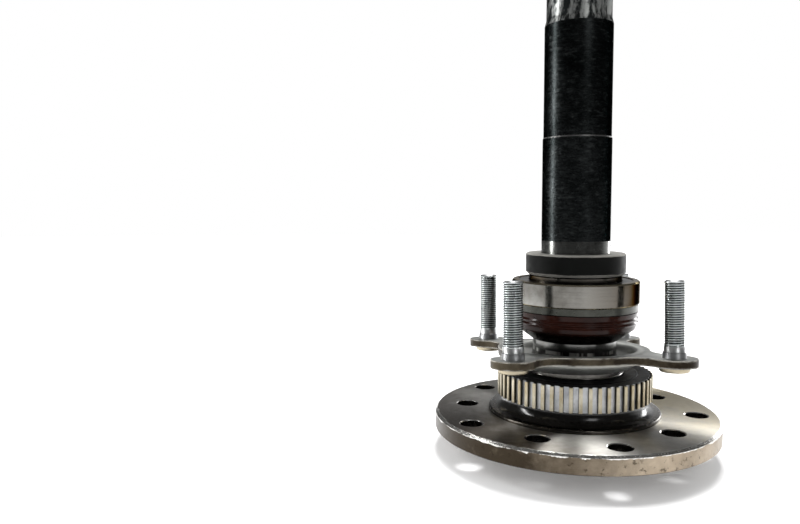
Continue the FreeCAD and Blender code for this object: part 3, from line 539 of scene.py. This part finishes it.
def makeShaft():
    line, bands = shaftRounded()
    mesh = latheMesh("axleShaft", line, shaft["segments"], reach=splineReach)
    names = sorted(set(bands))
    finishes = {
        "bore": turnedSteel("shaftBore", (0.10, 0.09, 0.085), (0.20, 0.19, 0.18), (0.09, 0.06, 0.04), 0.40),
        "pilot": turnedSteel("shaftPilot", (0.24, 0.23, 0.22), (0.40, 0.39, 0.37),
                             (0.22, 0.18, 0.14), 0.26),
        "faceOut": turnedSteel("flangeOutboard", (0.20, 0.18, 0.16), (0.34, 0.32, 0.30),
                               (0.19, 0.15, 0.11), 0.30, flat=True),
        # the rim is darkened towards the left-front as painted shade, and lightened along its top as a
        # painted highlight
        "rim": turnedSteel("flangeRim", (0.12, 0.095, 0.068), (0.42, 0.35, 0.265),
                           (0.09, 0.060, 0.036), 0.36, brightFrom=21.7, pits=0.7,
                           sideShades=[((-0.92, -0.38, 0.0), 20.0, 52.0, 0.95, (0.022, 0.016, 0.010))]),
        # the flange's top is darkened towards the left-front as painted shade and lightened to tan towards
        # the right as painted light, with a painted highlight along its outer edge
        "faceIn": turnedSteel("flangeInboard", (0.27, 0.26, 0.235), (0.60, 0.59, 0.56),
                              (0.12, 0.088, 0.055), 0.38, flat=True, brightFrom=80.8,
                              sideShades=[((-0.92, -0.38, 0.0), 30.0, 34.0, 0.85, (0.060, 0.042, 0.025)),
                                      ((0.88, 0.48, 0.0), 6.0, 46.0, 0.85, (0.74, 0.66, 0.48))]),
        # the chamfer round the flange's top edge is near white: painted highlight
        "edge": turnedSteel("flangeEdgeHighlight", (0.55, 0.54, 0.50), (0.80, 0.79, 0.76),
                            (0.40, 0.34, 0.25), 0.24),
        # the small step on the shaft's body is lightened to a bright line: painted highlight
        "worn": turnedSteel("stepHighlight", (0.20, 0.20, 0.19), (0.55, 0.55, 0.54),
                            (0.05, 0.05, 0.05), 0.30),
        # the hub's step, side and top are near black: painted shade where they lie under the tone ring and
        # the plate
        "step": turnedSteel("hubStepShade", (0.022, 0.019, 0.016), (0.085, 0.078, 0.068),
                            (0.02, 0.013, 0.009), 0.24),
        "hub": blackAndShade("hubSideShade", (0.003, 0.003, 0.0025), (0.010, 0.009, 0.008), 0.16, specular=0.36),
        "hubTop": blackAndShade("hubTop", (0.002, 0.002, 0.002), (0.006, 0.006, 0.006), 0.45),
        "collar": turnedSteel("hubCollar", (0.04, 0.038, 0.034), (0.16, 0.155, 0.145),
                              (0.03, 0.02, 0.014), 0.16),
        # the journal gets a row of painted reflections at 61 mm
        "journal": groundSteel("sealJournal", (0.040, 0.040, 0.038), (0.15, 0.15, 0.145), 0.14,
                               (0.06, 0.05, 0.04), dashes=61.0),
        "seat": turnedSteel("bearingSeat", (0.05, 0.052, 0.049), (0.21, 0.214, 0.205),
                            (0.04, 0.036, 0.030), 0.22),
        "body": forgeScale("forgedShaft"),
        "neck": scuffedScale("shaftNeck"),
        "spline": turnedSteel("splineSteel", (0.08, 0.08, 0.08), (0.20, 0.20, 0.195),
                              (0.09, 0.065, 0.045), 0.30),
    }
    for name in names:
        mesh.materials.append(finishes[name])
    for polygon in mesh.polygons:
        polygon.material_index = names.index(bandAt(line, bands, polygon, mesh))
    thing = keepObject("axleShaft", mesh)
    drillFlange(thing)
    dressed("axle_shaft", thing, "axle")


knownBands = {}


def bandAt(line, bands, polygon, mesh):
    # the band whose step of the line lies nearest the face's middle; faces of one ring share
    # an answer, so it is kept
    heights = [mesh.vertices[v].co.z / mm for v in polygon.vertices]
    radii = [math.hypot(mesh.vertices[v].co.x, mesh.vertices[v].co.y) / mm for v in polygon.vertices]
    key = (round(min(heights), 3), round(max(heights), 3), round(min(radii), 2), round(max(radii), 2))
    if key not in knownBands:
        z = (key[0] + key[1]) / 2
        r = (key[2] + key[3]) / 2
        best = min(range(len(line) - 1), key=lambda i: (
            abs((line[i].y + line[i + 1].y) / 2 - z) + abs((line[i].x + line[i + 1].x) / 2 - r)))
        knownBands[key] = bands[best]
    return knownBands[key]


def drillFlange(thing):
    low, high = shaft["flangeRear"], shaft["flangeFront"]
    r, c, over = shaft["holeRadius"], shaft["holeChamfer"], shaft["overcut"]
    line = [Vector(p) for p in ((0, low - over), (r + c, low - over), (r + c, low), (r, low + c),
                                (r, high - c), (r + c, high), (r + c, high + over), (0, high + over))]
    drill = latheMesh("drill", line, shaft["holeSegments"])
    # the hole walls are near black as painted shade inside the holes, and the chamfers are lightened as a
    # painted highlight
    drill.materials.append(turnedSteel("holeWallShade", (0.012, 0.011, 0.010), (0.05, 0.047, 0.042),
                                       (0.02, 0.013, 0.008), 0.28))
    drill.materials.append(turnedSteel("holeChamfer", (0.50, 0.49, 0.46), (0.80, 0.79, 0.77),
                                       (0.36, 0.30, 0.22), 0.22))
    for polygon in drill.polygons:
        if 0.2 < abs(polygon.normal.z) < 0.95:  # the slanted faces are the chamfers
            polygon.material_index = 1
    cutters = bmesh.new()
    for circle, first in shaft["holeCircles"]:
        reach = circle / 2 * mm
        for k in range(shaft["holesPerCircle"]):
            angle = math.radians(first + 360 / shaft["holesPerCircle"] * k)
            copy = drill.copy()
            copy.transform(Matrix.Translation((reach * math.cos(angle), reach * math.sin(angle), 0)))
            cutters.from_mesh(copy)
    mesh = bpy.data.meshes.new("drills")
    cutters.to_mesh(mesh)
    cutters.free()
    for material in drill.materials:
        mesh.materials.append(material)
    tool = bpy.data.objects.new("drills", mesh)
    bpy.context.scene.collection.objects.link(tool)
    cut = thing.modifiers.new("holes", "BOOLEAN")
    cut.operation = "DIFFERENCE"
    cut.solver = "EXACT"
    cut.material_mode = "TRANSFER"
    cut.object = tool
    bakeModifiers(thing)
    bpy.data.objects.remove(tool)
    thing.data.set_sharp_from_angle(angle=math.radians(30))


def bakeModifiers(thing):
    # turns the modifiers' result into the thing's own mesh
    solid = bpy.data.meshes.new_from_object(thing.evaluated_get(bpy.context.evaluated_depsgraph_get()))
    # the cuts leave slivers where a tool's edge lies in a face
    sliver = 0.004 * mm
    work = bmesh.new()
    work.from_mesh(solid)
    bmesh.ops.remove_doubles(work, verts=work.verts, dist=sliver)
    bmesh.ops.dissolve_degenerate(work, dist=sliver, edges=work.edges)
    work.to_mesh(solid)
    work.free()
    thing.modifiers.clear()
    thing.data = solid


makeShaft()
print("axle shaft turned, drilled and splined")


# tone ring

toneRing = {
    "teeth": 54,
    "tip": 44.9,
    "depth": 1.8,
    "land": 1.95,  # width of a tooth at its tip
    "foot": 2.3,  # and at its root
    "bore": 36.0,
    "low": 33.0,
    "high": 47.2,
    "edge": 0.3,
    "boreEdge": 0.4,
    "pointsPerTooth": 6,
}


def toothOutline(inset):
    # points round the ring's outside, six a tooth; inset shrinks it for the bevelled rims
    tip, root = toneRing["tip"] - inset, toneRing["tip"] - toneRing["depth"]
    points = []
    for k in range(toneRing["teeth"]):
        middle = 2 * math.pi * k / toneRing["teeth"]
        half = (toneRing["land"] / 2 - inset * 0.5) / tip
        foot = toneRing["foot"] / 2 / root
        for angle, r in ((middle - foot, root), (middle - half, tip), (middle, tip), (middle + half, tip),
                         (middle + foot, root), (middle + math.pi / toneRing["teeth"], root)):
            points.append((r * math.cos(angle), r * math.sin(angle)))
    return points


def makeToneRing():
    low, high, edge = toneRing["low"], toneRing["high"], toneRing["edge"]
    bore, boreEdge = toneRing["bore"], toneRing["boreEdge"]
    work = bmesh.new()
    count = toneRing["teeth"] * toneRing["pointsPerTooth"]
    rings = []
    for inset, z in ((edge, low), (0, low + edge), (0, high - edge), (edge, high)):
        rings.append([work.verts.new((x * mm, y * mm, z * mm)) for x, y in toothOutline(inset)])
    # a tooth's outline starts two points before its middle, so the bore's points do too
    angles = [2 * math.pi * (k - 2) / count for k in range(count)]
    for r, z in ((bore + boreEdge, high), (bore, high - boreEdge), (bore, low)):
        rings.append([work.verts.new((r * mm * math.cos(a), r * mm * math.sin(a), z * mm)) for a in angles])
    rings.append(rings[0])
    for one, two in zip(rings, rings[1:]):
        for k in range(count):
            n = (k + 1) % count
            work.faces.new((one[k], one[n], two[n], two[k])).smooth = True
    bmesh.ops.recalc_face_normals(work, faces=work.faces)
    mesh = bpy.data.meshes.new("toneRing")
    work.to_mesh(mesh)
    work.free()
    mesh.materials.append(sinteredTeeth("toneTeeth"))
    # the ring's top faces are near black: painted shade under the plate
    mesh.materials.append(blackAndShade("toneTopShade", (0.002, 0.002, 0.002), (0.007, 0.0065, 0.006), 0.5))
    for polygon in mesh.polygons:
        if polygon.normal.z > 0.9:
            polygon.material_index = 1
    dressed("tone_ring", keepObject("toneRing", mesh, 25), "axle")


makeToneRing()
print("tone ring toothed")


# retainer studs: head, shoulder, smooth band, rolled thread

stud = {
    "thread": 5.55,
    "pitch": 1.27,
    "depth": 0.64,
    "root": 0.12,  # shares of half a pitch that the root and the flank take up
    "flank": 0.72,
    "threadFrom": 6.6,  # above the plate's top
    "threadTo": 41.0,
    "runIn": 1.2,  # heights over which the thread deepens below and fades out above
    "runOut": 0.5,
    "length": 42.0,
    "tip": 1.0,  # chamfer at the top
    "shoulder": 6.2,
    "shoulderTop": 3.4,
    "shoulderEdge": 0.3,
    "plate": 4.5,
    "head": 8.0,
    "headHeight": 3.0,
    "headRound": 1.2,
    "bandTop": 6.3,  # end of the smooth band over the shoulder
    "bandProud": 0.1,  # by how much the band is thicker than the thread
    "bandEdge": 0.2,
    "segments": 64,
    "rowsPerTurn": 8,
    "startTurn": 67,  # degrees from one stud to the next, so that no two threads start alike
}

# where the loose plate lies
plateLie = {
    "lean": 3.26,  # degrees, down towards the back
    "top": (-0.7, 0.648, 60.647),  # middle of its top
    "half": 43.7,  # half the spacing of the studs
}


def studReach(r, z, angle):
    if not stud["threadFrom"] <= z <= stud["threadTo"]:
        return r
    turn = (z / stud["pitch"] - angle / (2 * math.pi)) % 1.0
    ridge = abs(turn - 0.5) * 2  # 1 on the crest, 0 in the root
    profile = min(max((ridge - stud["root"]) / stud["flank"], 0.0), 1.0)
    fade = min((z - stud["threadFrom"]) / stud["runIn"], 1.0, (stud["threadTo"] - z) / stud["runOut"])
    return min(r, stud["thread"] - stud["depth"] * (1 - profile) * fade)


def studMesh():
    # heights are over the plate's top, so the plate and the head lie below 0
    s = stud
    under, foot = -s["plate"], -s["plate"] - s["headHeight"]
    band = s["thread"] + s["bandProud"]
    line = roundCorners([(0, foot), (s["head"], foot, s["headRound"]), (s["head"], under)], 5)
    line += [Vector(p) for p in (
        (s["shoulder"], under), (s["shoulder"], s["shoulderTop"] - s["shoulderEdge"]),
        (s["shoulder"] - s["shoulderEdge"], s["shoulderTop"]), (band, s["shoulderTop"] + s["bandEdge"]),
        (band, s["bandTop"] - s["bandEdge"]), (s["thread"], s["bandTop"]))]
    z = s["threadFrom"]
    while z < s["length"]:
        # the chamfer at the top loses as much radius as it gains height
        chamfer = max(z - (s["length"] - s["tip"]), 0.0)
        line.append(Vector((s["thread"] - chamfer, z)))
        z += s["pitch"] / s["rowsPerTurn"]
    line += [Vector((s["thread"] - s["tip"], s["length"])), Vector((0, s["length"]))]
    return latheMesh("studMesh", line, s["segments"], reach=studReach)


def studBand(r, z):
    # which of the stud's finishes covers radius r at height z
    if z < -stud["plate"] - 0.05:
        return "head"
    if z < stud["shoulderTop"] + 0.1:
        return "shoulder"
    if z < stud["bandTop"]:
        return "band"
    if z > stud["length"] - stud["tip"]:
        return "shoulder"
    return "root" if r < stud["thread"] - stud["depth"] * 0.55 else "thread"


def plateMatrix():
    lean = Matrix.Rotation(math.radians(-plateLie["lean"]), 4, "X")
    return Matrix.Translation(Vector(plateLie["top"]) * mm) @ lean


def makeStuds():
    finishes = {
        "thread": zincPlate("zincThread"),
        "shoulder": turnedSteel("studShoulder", (0.30, 0.305, 0.31), (0.44, 0.445, 0.45),
                                (0.24, 0.22, 0.20), 0.44),
        "band": turnedSteel("studBand", (0.60, 0.61, 0.61), (0.82, 0.83, 0.83), (0.54, 0.52, 0.48), 0.36),
        "head": turnedSteel("studHead", (0.36, 0.31, 0.22), (0.52, 0.46, 0.35), (0.24, 0.18, 0.11), 0.45),
        # the thread's roots are near black: painted shade in the grooves
        "root": turnedSteel("threadRootShade", (0.02, 0.02, 0.02), (0.07, 0.07, 0.07),
                            (0.04, 0.035, 0.03), 0.4),
    }
    names = list(finishes)
    half = plateLie["half"]
    for i, (x, y) in enumerate(((-half, half), (-half, -half), (half, -half), (half, half)), start=1):
        mesh = studMesh()
        for name in names:
            mesh.materials.append(finishes[name])
        for polygon in mesh.polygons:
            band = studBand(math.hypot(*polygon.center[:2]) / mm, polygon.center.z / mm)
            polygon.material_index = names.index(band)
        spin = Matrix.Rotation(math.radians(stud["startTurn"] * i), 4, "Z")
        mesh.transform(plateMatrix() @ Matrix.Translation((x * mm, y * mm, 0)) @ spin)
        dressed("retainer_stud_%d" % i, keepObject("retainerStud%d" % i, mesh, 60), "retainer")


makeStuds()
print("studs threaded")


# retainer plate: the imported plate's ears and waist, with the dish drawn wider and rounder

plateDish = {
    "cut": 39.9,  # radius out of which the plate's own dish is taken
    "cutFrom": -20,  # heights over the plate's top between which that is done
    "cutTo": 10,
    "segments": 160,
    # closed line of (radius, height over the plate's top, rounding)
    "line": [(40.6, 0), (35.6, 0, 2.6), (35.2, -4.2, 3.0), (31.4, -8.0, 2.0), (28.8, -8.0), (28.8, -11.4),
             (31.6, -11.4, 4.0), (38.5, -7.0, 4.0), (38.8, -4.5, 0.7), (40.6, -4.5)],
}


def makePlate():
    work = bmesh.new()
    work.from_mesh(nodes["retainer_plate"].data)
    bmesh.ops.remove_doubles(work, verts=work.verts, dist=0.002 * mm)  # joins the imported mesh's seams
    mesh = bpy.data.meshes.new("retainerPlate")
    work.to_mesh(mesh)
    work.free()
    thing = keepObject("retainerPlate", mesh, 25)
    cut, low, high = plateDish["cut"], plateDish["cutFrom"], plateDish["cutTo"]
    dish = latheMesh("plateDish", roundCorners(plateDish["line"] + [plateDish["line"][0]], 7)[:-1],
                     plateDish["segments"], closed=True)
    core = latheMesh("plateCore", [Vector(p) for p in ((0, low), (cut, low), (cut, high), (0, high))],
                     plateDish["segments"])
    for label, tool, job in (("plateCore", core, "DIFFERENCE"), ("plateDish", dish, "UNION")):
        tool.transform(plateMatrix())
        helper = bpy.data.objects.new(label, tool)
        bpy.context.scene.collection.objects.link(helper)
        step = thing.modifiers.new(label, "BOOLEAN")
        step.operation = job
        step.solver = "EXACT"
        step.object = helper
        bakeModifiers(thing)
        bpy.data.objects.remove(helper)
    thing.data.materials.clear()
    thing.data.materials.append(pressedPlate("retainerSheet"))
    for polygon in thing.data.polygons:
        polygon.material_index = 0
        polygon.use_smooth = True
    thing.data.set_sharp_from_angle(angle=math.radians(25))
    dressed("retainer_plate", thing, "retainer")


makePlate()
print("retainer plate dished")


# seal rubber: ribs and cone

sealRubber = {
    "segments": 200,
    # closed line of (radius, height, rounding): lip, cone, two ribs, back, nest of the spring
    "line": [(24.35, 67.5), (25.05, 66.8, 0.25), (34.8, 74.0, 2.5), (35.5, 76.85, 0.5), (36.2, 78.0, 0.35),
             (35.5, 79.15, 0.4), (36.2, 80.3, 0.35), (35.5, 81.45, 0.4), (36.2, 84.2), (32.9, 84.2),
             (32.9, 76.6, 1.0), (29.45, 72.2), (27.95, 72.2), (27.15, 70.0), (25.05, 70.0), (24.35, 68.2)],
}


def makeSealRubber():
    mesh = latheMesh("sealRubber", roundCorners(sealRubber["line"] + [sealRubber["line"][0]], 6)[:-1],
                     sealRubber["segments"], closed=True)
    mesh.materials.append(mouldedRubber("sealMaroon"))
    dressed("seal_rubber", keepObject("sealRubber", mesh, 40), "bearing_outer")


makeSealRubber()
print("seal moulded")


# pieces whose solids are kept and only get their finish

def dressNode(name, material):
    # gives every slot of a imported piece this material
    thing = nodes[name]
    if not thing.data.materials:
        thing.data.materials.append(None)
    for slot in thing.material_slots:
        slot.material = material


# the race's flat faces are lightened as painted light; it is darkened towards the right as painted shade,
# darkest at its right edge, and lightened at its left-front edge as a painted highlight
race = groundSteel("groundRace", (0.10, 0.095, 0.086), (0.21, 0.205, 0.19), 0.15, (0.07, 0.052, 0.036),
                   glance=(0.20, 0.185, 0.165), level=(0.52, 0.46, 0.34),
                   sideShades=[((0.966, -0.259, 0.0), 6.0, 26.0, 0.9, (0.052, 0.040, 0.028)),
                           ((0.966, -0.259, 0.0), 34.0, 6.0, 1.0, (0.022, 0.0185, 0.015)),
                           ((-0.85, -0.52, 0.0), 34.5, 6.0, 0.45, (0.34, 0.355, 0.35))])
inner = groundSteel("groundInner", (0.03, 0.027, 0.023), (0.08, 0.074, 0.066), 0.24,
                    glance=(0.2, 0.18, 0.15))
ballSteel = groundSteel("ballPolish", (0.62, 0.62, 0.62), (0.82, 0.82, 0.82), 0.08)
cageSteel = sheetSteel("cageSheet", (0.40, 0.39, 0.37), (0.60, 0.59, 0.57), 0.36)
dressNode("bearing_outer_race", race)
dressNode("bearing_inner_ring", inner)
dressNode("bearing_shield", sheetSteel("shieldSheet", (0.012, 0.012, 0.012), (0.04, 0.04, 0.038), 0.35))
dressNode("seal_case", sheetSteel("caseSheet", (0.025, 0.026, 0.022), (0.07, 0.072, 0.064), 0.28))
dressNode("seal_spring", groundSteel("springWire", (0.4, 0.4, 0.4), (0.6, 0.6, 0.6), 0.3))
# the lock ring's top face is lightened as painted light and its edges as a painted highlight
dressNode("lock_ring", blackAndShade("lockRingBlack", (0.0015, 0.0017, 0.0015), (0.0035, 0.004, 0.0035), 0.42,
                                   specular=0.06, level=(0.20, 0.195, 0.18)))
dressNode("hub_cap", coatedCap("capWhite", (0.80, 0.80, 0.78), (0.86, 0.86, 0.84), 0.35))
dressNode("cap_disc", coatedCap("capDiscBlack", (0.012, 0.012, 0.012), (0.022, 0.022, 0.022), 0.2))
for piece in ("cage_upper", "cage_lower", "cage_rivets"):
    dressNode(piece, cageSteel)
for number in range(1, 13):
    dressNode("ball_%02d" % number, ballSteel)
print("solids dressed")


# studio

studio = {
    "floorColor": (0.84, 0.84, 0.84),
    "floorGlow": (0.14, 0.52),  # what lifts the seen floor to white: near the part, and far from it
    "glowFrom": (0.13, 0.45),  # metres from the part
    "worldLight": 0.55,
    "darkSide": 0.07,  # strength of the studio's unlit front left, as metal shows it
    "backdropSide": (0.72, 0.69, 0.0),  # direction of the backdrop's middle
    "backdropFade": (0.55, 0.97),  # cosines between which the room brightens to white
    "backdropTop": (0.50, 0.25),  # sines of the heights between which the backdrop fades in
    "floorSize": 6.0,  # metres
    "lampAim": (0, 0, 0.12),  # metres
}
lamps = {
    # name: (place in metres, size in metres, watts)
    "stripLeft": ((-0.62, 0.12, 0.34), (0.07, 0.44), 2.4),
    "softTop": ((0.17, 0.55, 1.9), (0.7, 0.7), 52),
    "softRight": ((0.80, 0.62, 0.26), (0.22, 0.36), 2.6),
    "softFront": ((0.55, -1.7, 1.2), (0.5, 0.8), 5),
}


def addFloor():
    size = studio["floorSize"] / 2
    mesh = bpy.data.meshes.new("floor")
    corners = [(-size, -size, 0), (size, -size, 0), (size, size, 0), (-size, size, 0)]
    mesh.from_pydata(corners, [], [(0, 1, 2, 3)])
    paint = Paint("paleFloor")
    grain = paint.noise(60.0, 3.0, 0.5)
    base = paint.blend(grain, studio["floorColor"], tuple(min(1.0, c + 0.02) for c in studio["floorColor"]))
    away = paint.spread(paint.radius(), *studio["glowFrom"], *studio["floorGlow"])
    path = paint.add("ShaderNodeLightPath")
    seen = paint.sum("MAXIMUM", path.outputs["Is Camera Ray"], path.outputs["Is Transmission Ray"])
    seen = paint.sum("MAXIMUM", seen, path.outputs["Is Glossy Ray"])
    paint.link(paint.shader.inputs["Emission Color"], (1, 1, 1, 1))
    paint.link(paint.shader.inputs["Emission Strength"], paint.sum("MULTIPLY", away, seen))
    mesh.materials.append(paint.finish(color=base, rough=0.8, specular=0.0))
    floor = bpy.data.objects.new("floor", mesh)
    bpy.context.scene.collection.objects.link(floor)


def addWorld():
    # lights the part evenly; the camera sees plain white, metal sees a backdrop and a dark side
    world = bpy.data.worlds.new("studio")
    bpy.context.scene.world = world
    world.use_nodes = True
    tree = world.node_tree
    new, link = tree.nodes.new, tree.links.new

    def step(kind, one, two):
        node = new("ShaderNodeMath")
        node.operation = kind
        link(one, node.inputs[0])
        link(two, node.inputs[1])
        return node.outputs[0]

    def fade(value, limits, outLow=0.0, outHigh=1.0):
        node = new("ShaderNodeMapRange")
        node.interpolation_type = "SMOOTHSTEP"
        for name, number in zip(("From Min", "From Max", "To Min", "To Max"), (*limits, outLow, outHigh)):
            node.inputs[name].default_value = number
        link(value, node.inputs["Value"])
        return node.outputs["Result"]

    path = new("ShaderNodeLightPath")
    seen = step("MAXIMUM", path.outputs["Is Camera Ray"], path.outputs["Is Glossy Ray"])
    seen = step("MAXIMUM", seen, path.outputs["Is Transmission Ray"])
    # the white backdrop stands behind and to the right, and the front left is unlit
    where = new("ShaderNodeTexCoord")
    turned = new("ShaderNodeVectorMath")
    turned.operation = "DOT_PRODUCT"
    link(where.outputs["Generated"], turned.inputs[0])
    turned.inputs[1].default_value = studio["backdropSide"]
    apart = new("ShaderNodeSeparateXYZ")
    link(where.outputs["Generated"], apart.inputs[0])
    below = fade(apart.outputs["Z"], studio["backdropTop"])
    room = fade(step("MULTIPLY", turned.outputs["Value"], below), studio["backdropFade"], studio["darkSide"])
    strength = new("ShaderNodeMix")
    strength.inputs[2].default_value = studio["worldLight"]
    link(seen, strength.inputs[0])
    link(step("MAXIMUM", path.outputs["Is Camera Ray"], room), strength.inputs[3])
    background = tree.nodes["Background"]
    background.inputs["Color"].default_value = (1, 1, 1, 1)
    link(strength.outputs[0], background.inputs["Strength"])


def addLamps():
    target = Vector(studio["lampAim"])
    for name, (place, size, watts) in lamps.items():
        data = bpy.data.lights.new(name, "AREA")
        data.shape = "RECTANGLE"
        data.size, data.size_y = size
        data.energy = watts
        lamp = bpy.data.objects.new(name, data)
        lamp.location = place
        lamp.visible_camera = False
        lamp.rotation_euler = (target - Vector(place)).to_track_quat("-Z", "Y").to_euler()
        bpy.context.scene.collection.objects.link(lamp)


addFloor()
addWorld()
addLamps()
bpy.context.scene.view_settings.view_transform = "Standard"
print("studio lit")
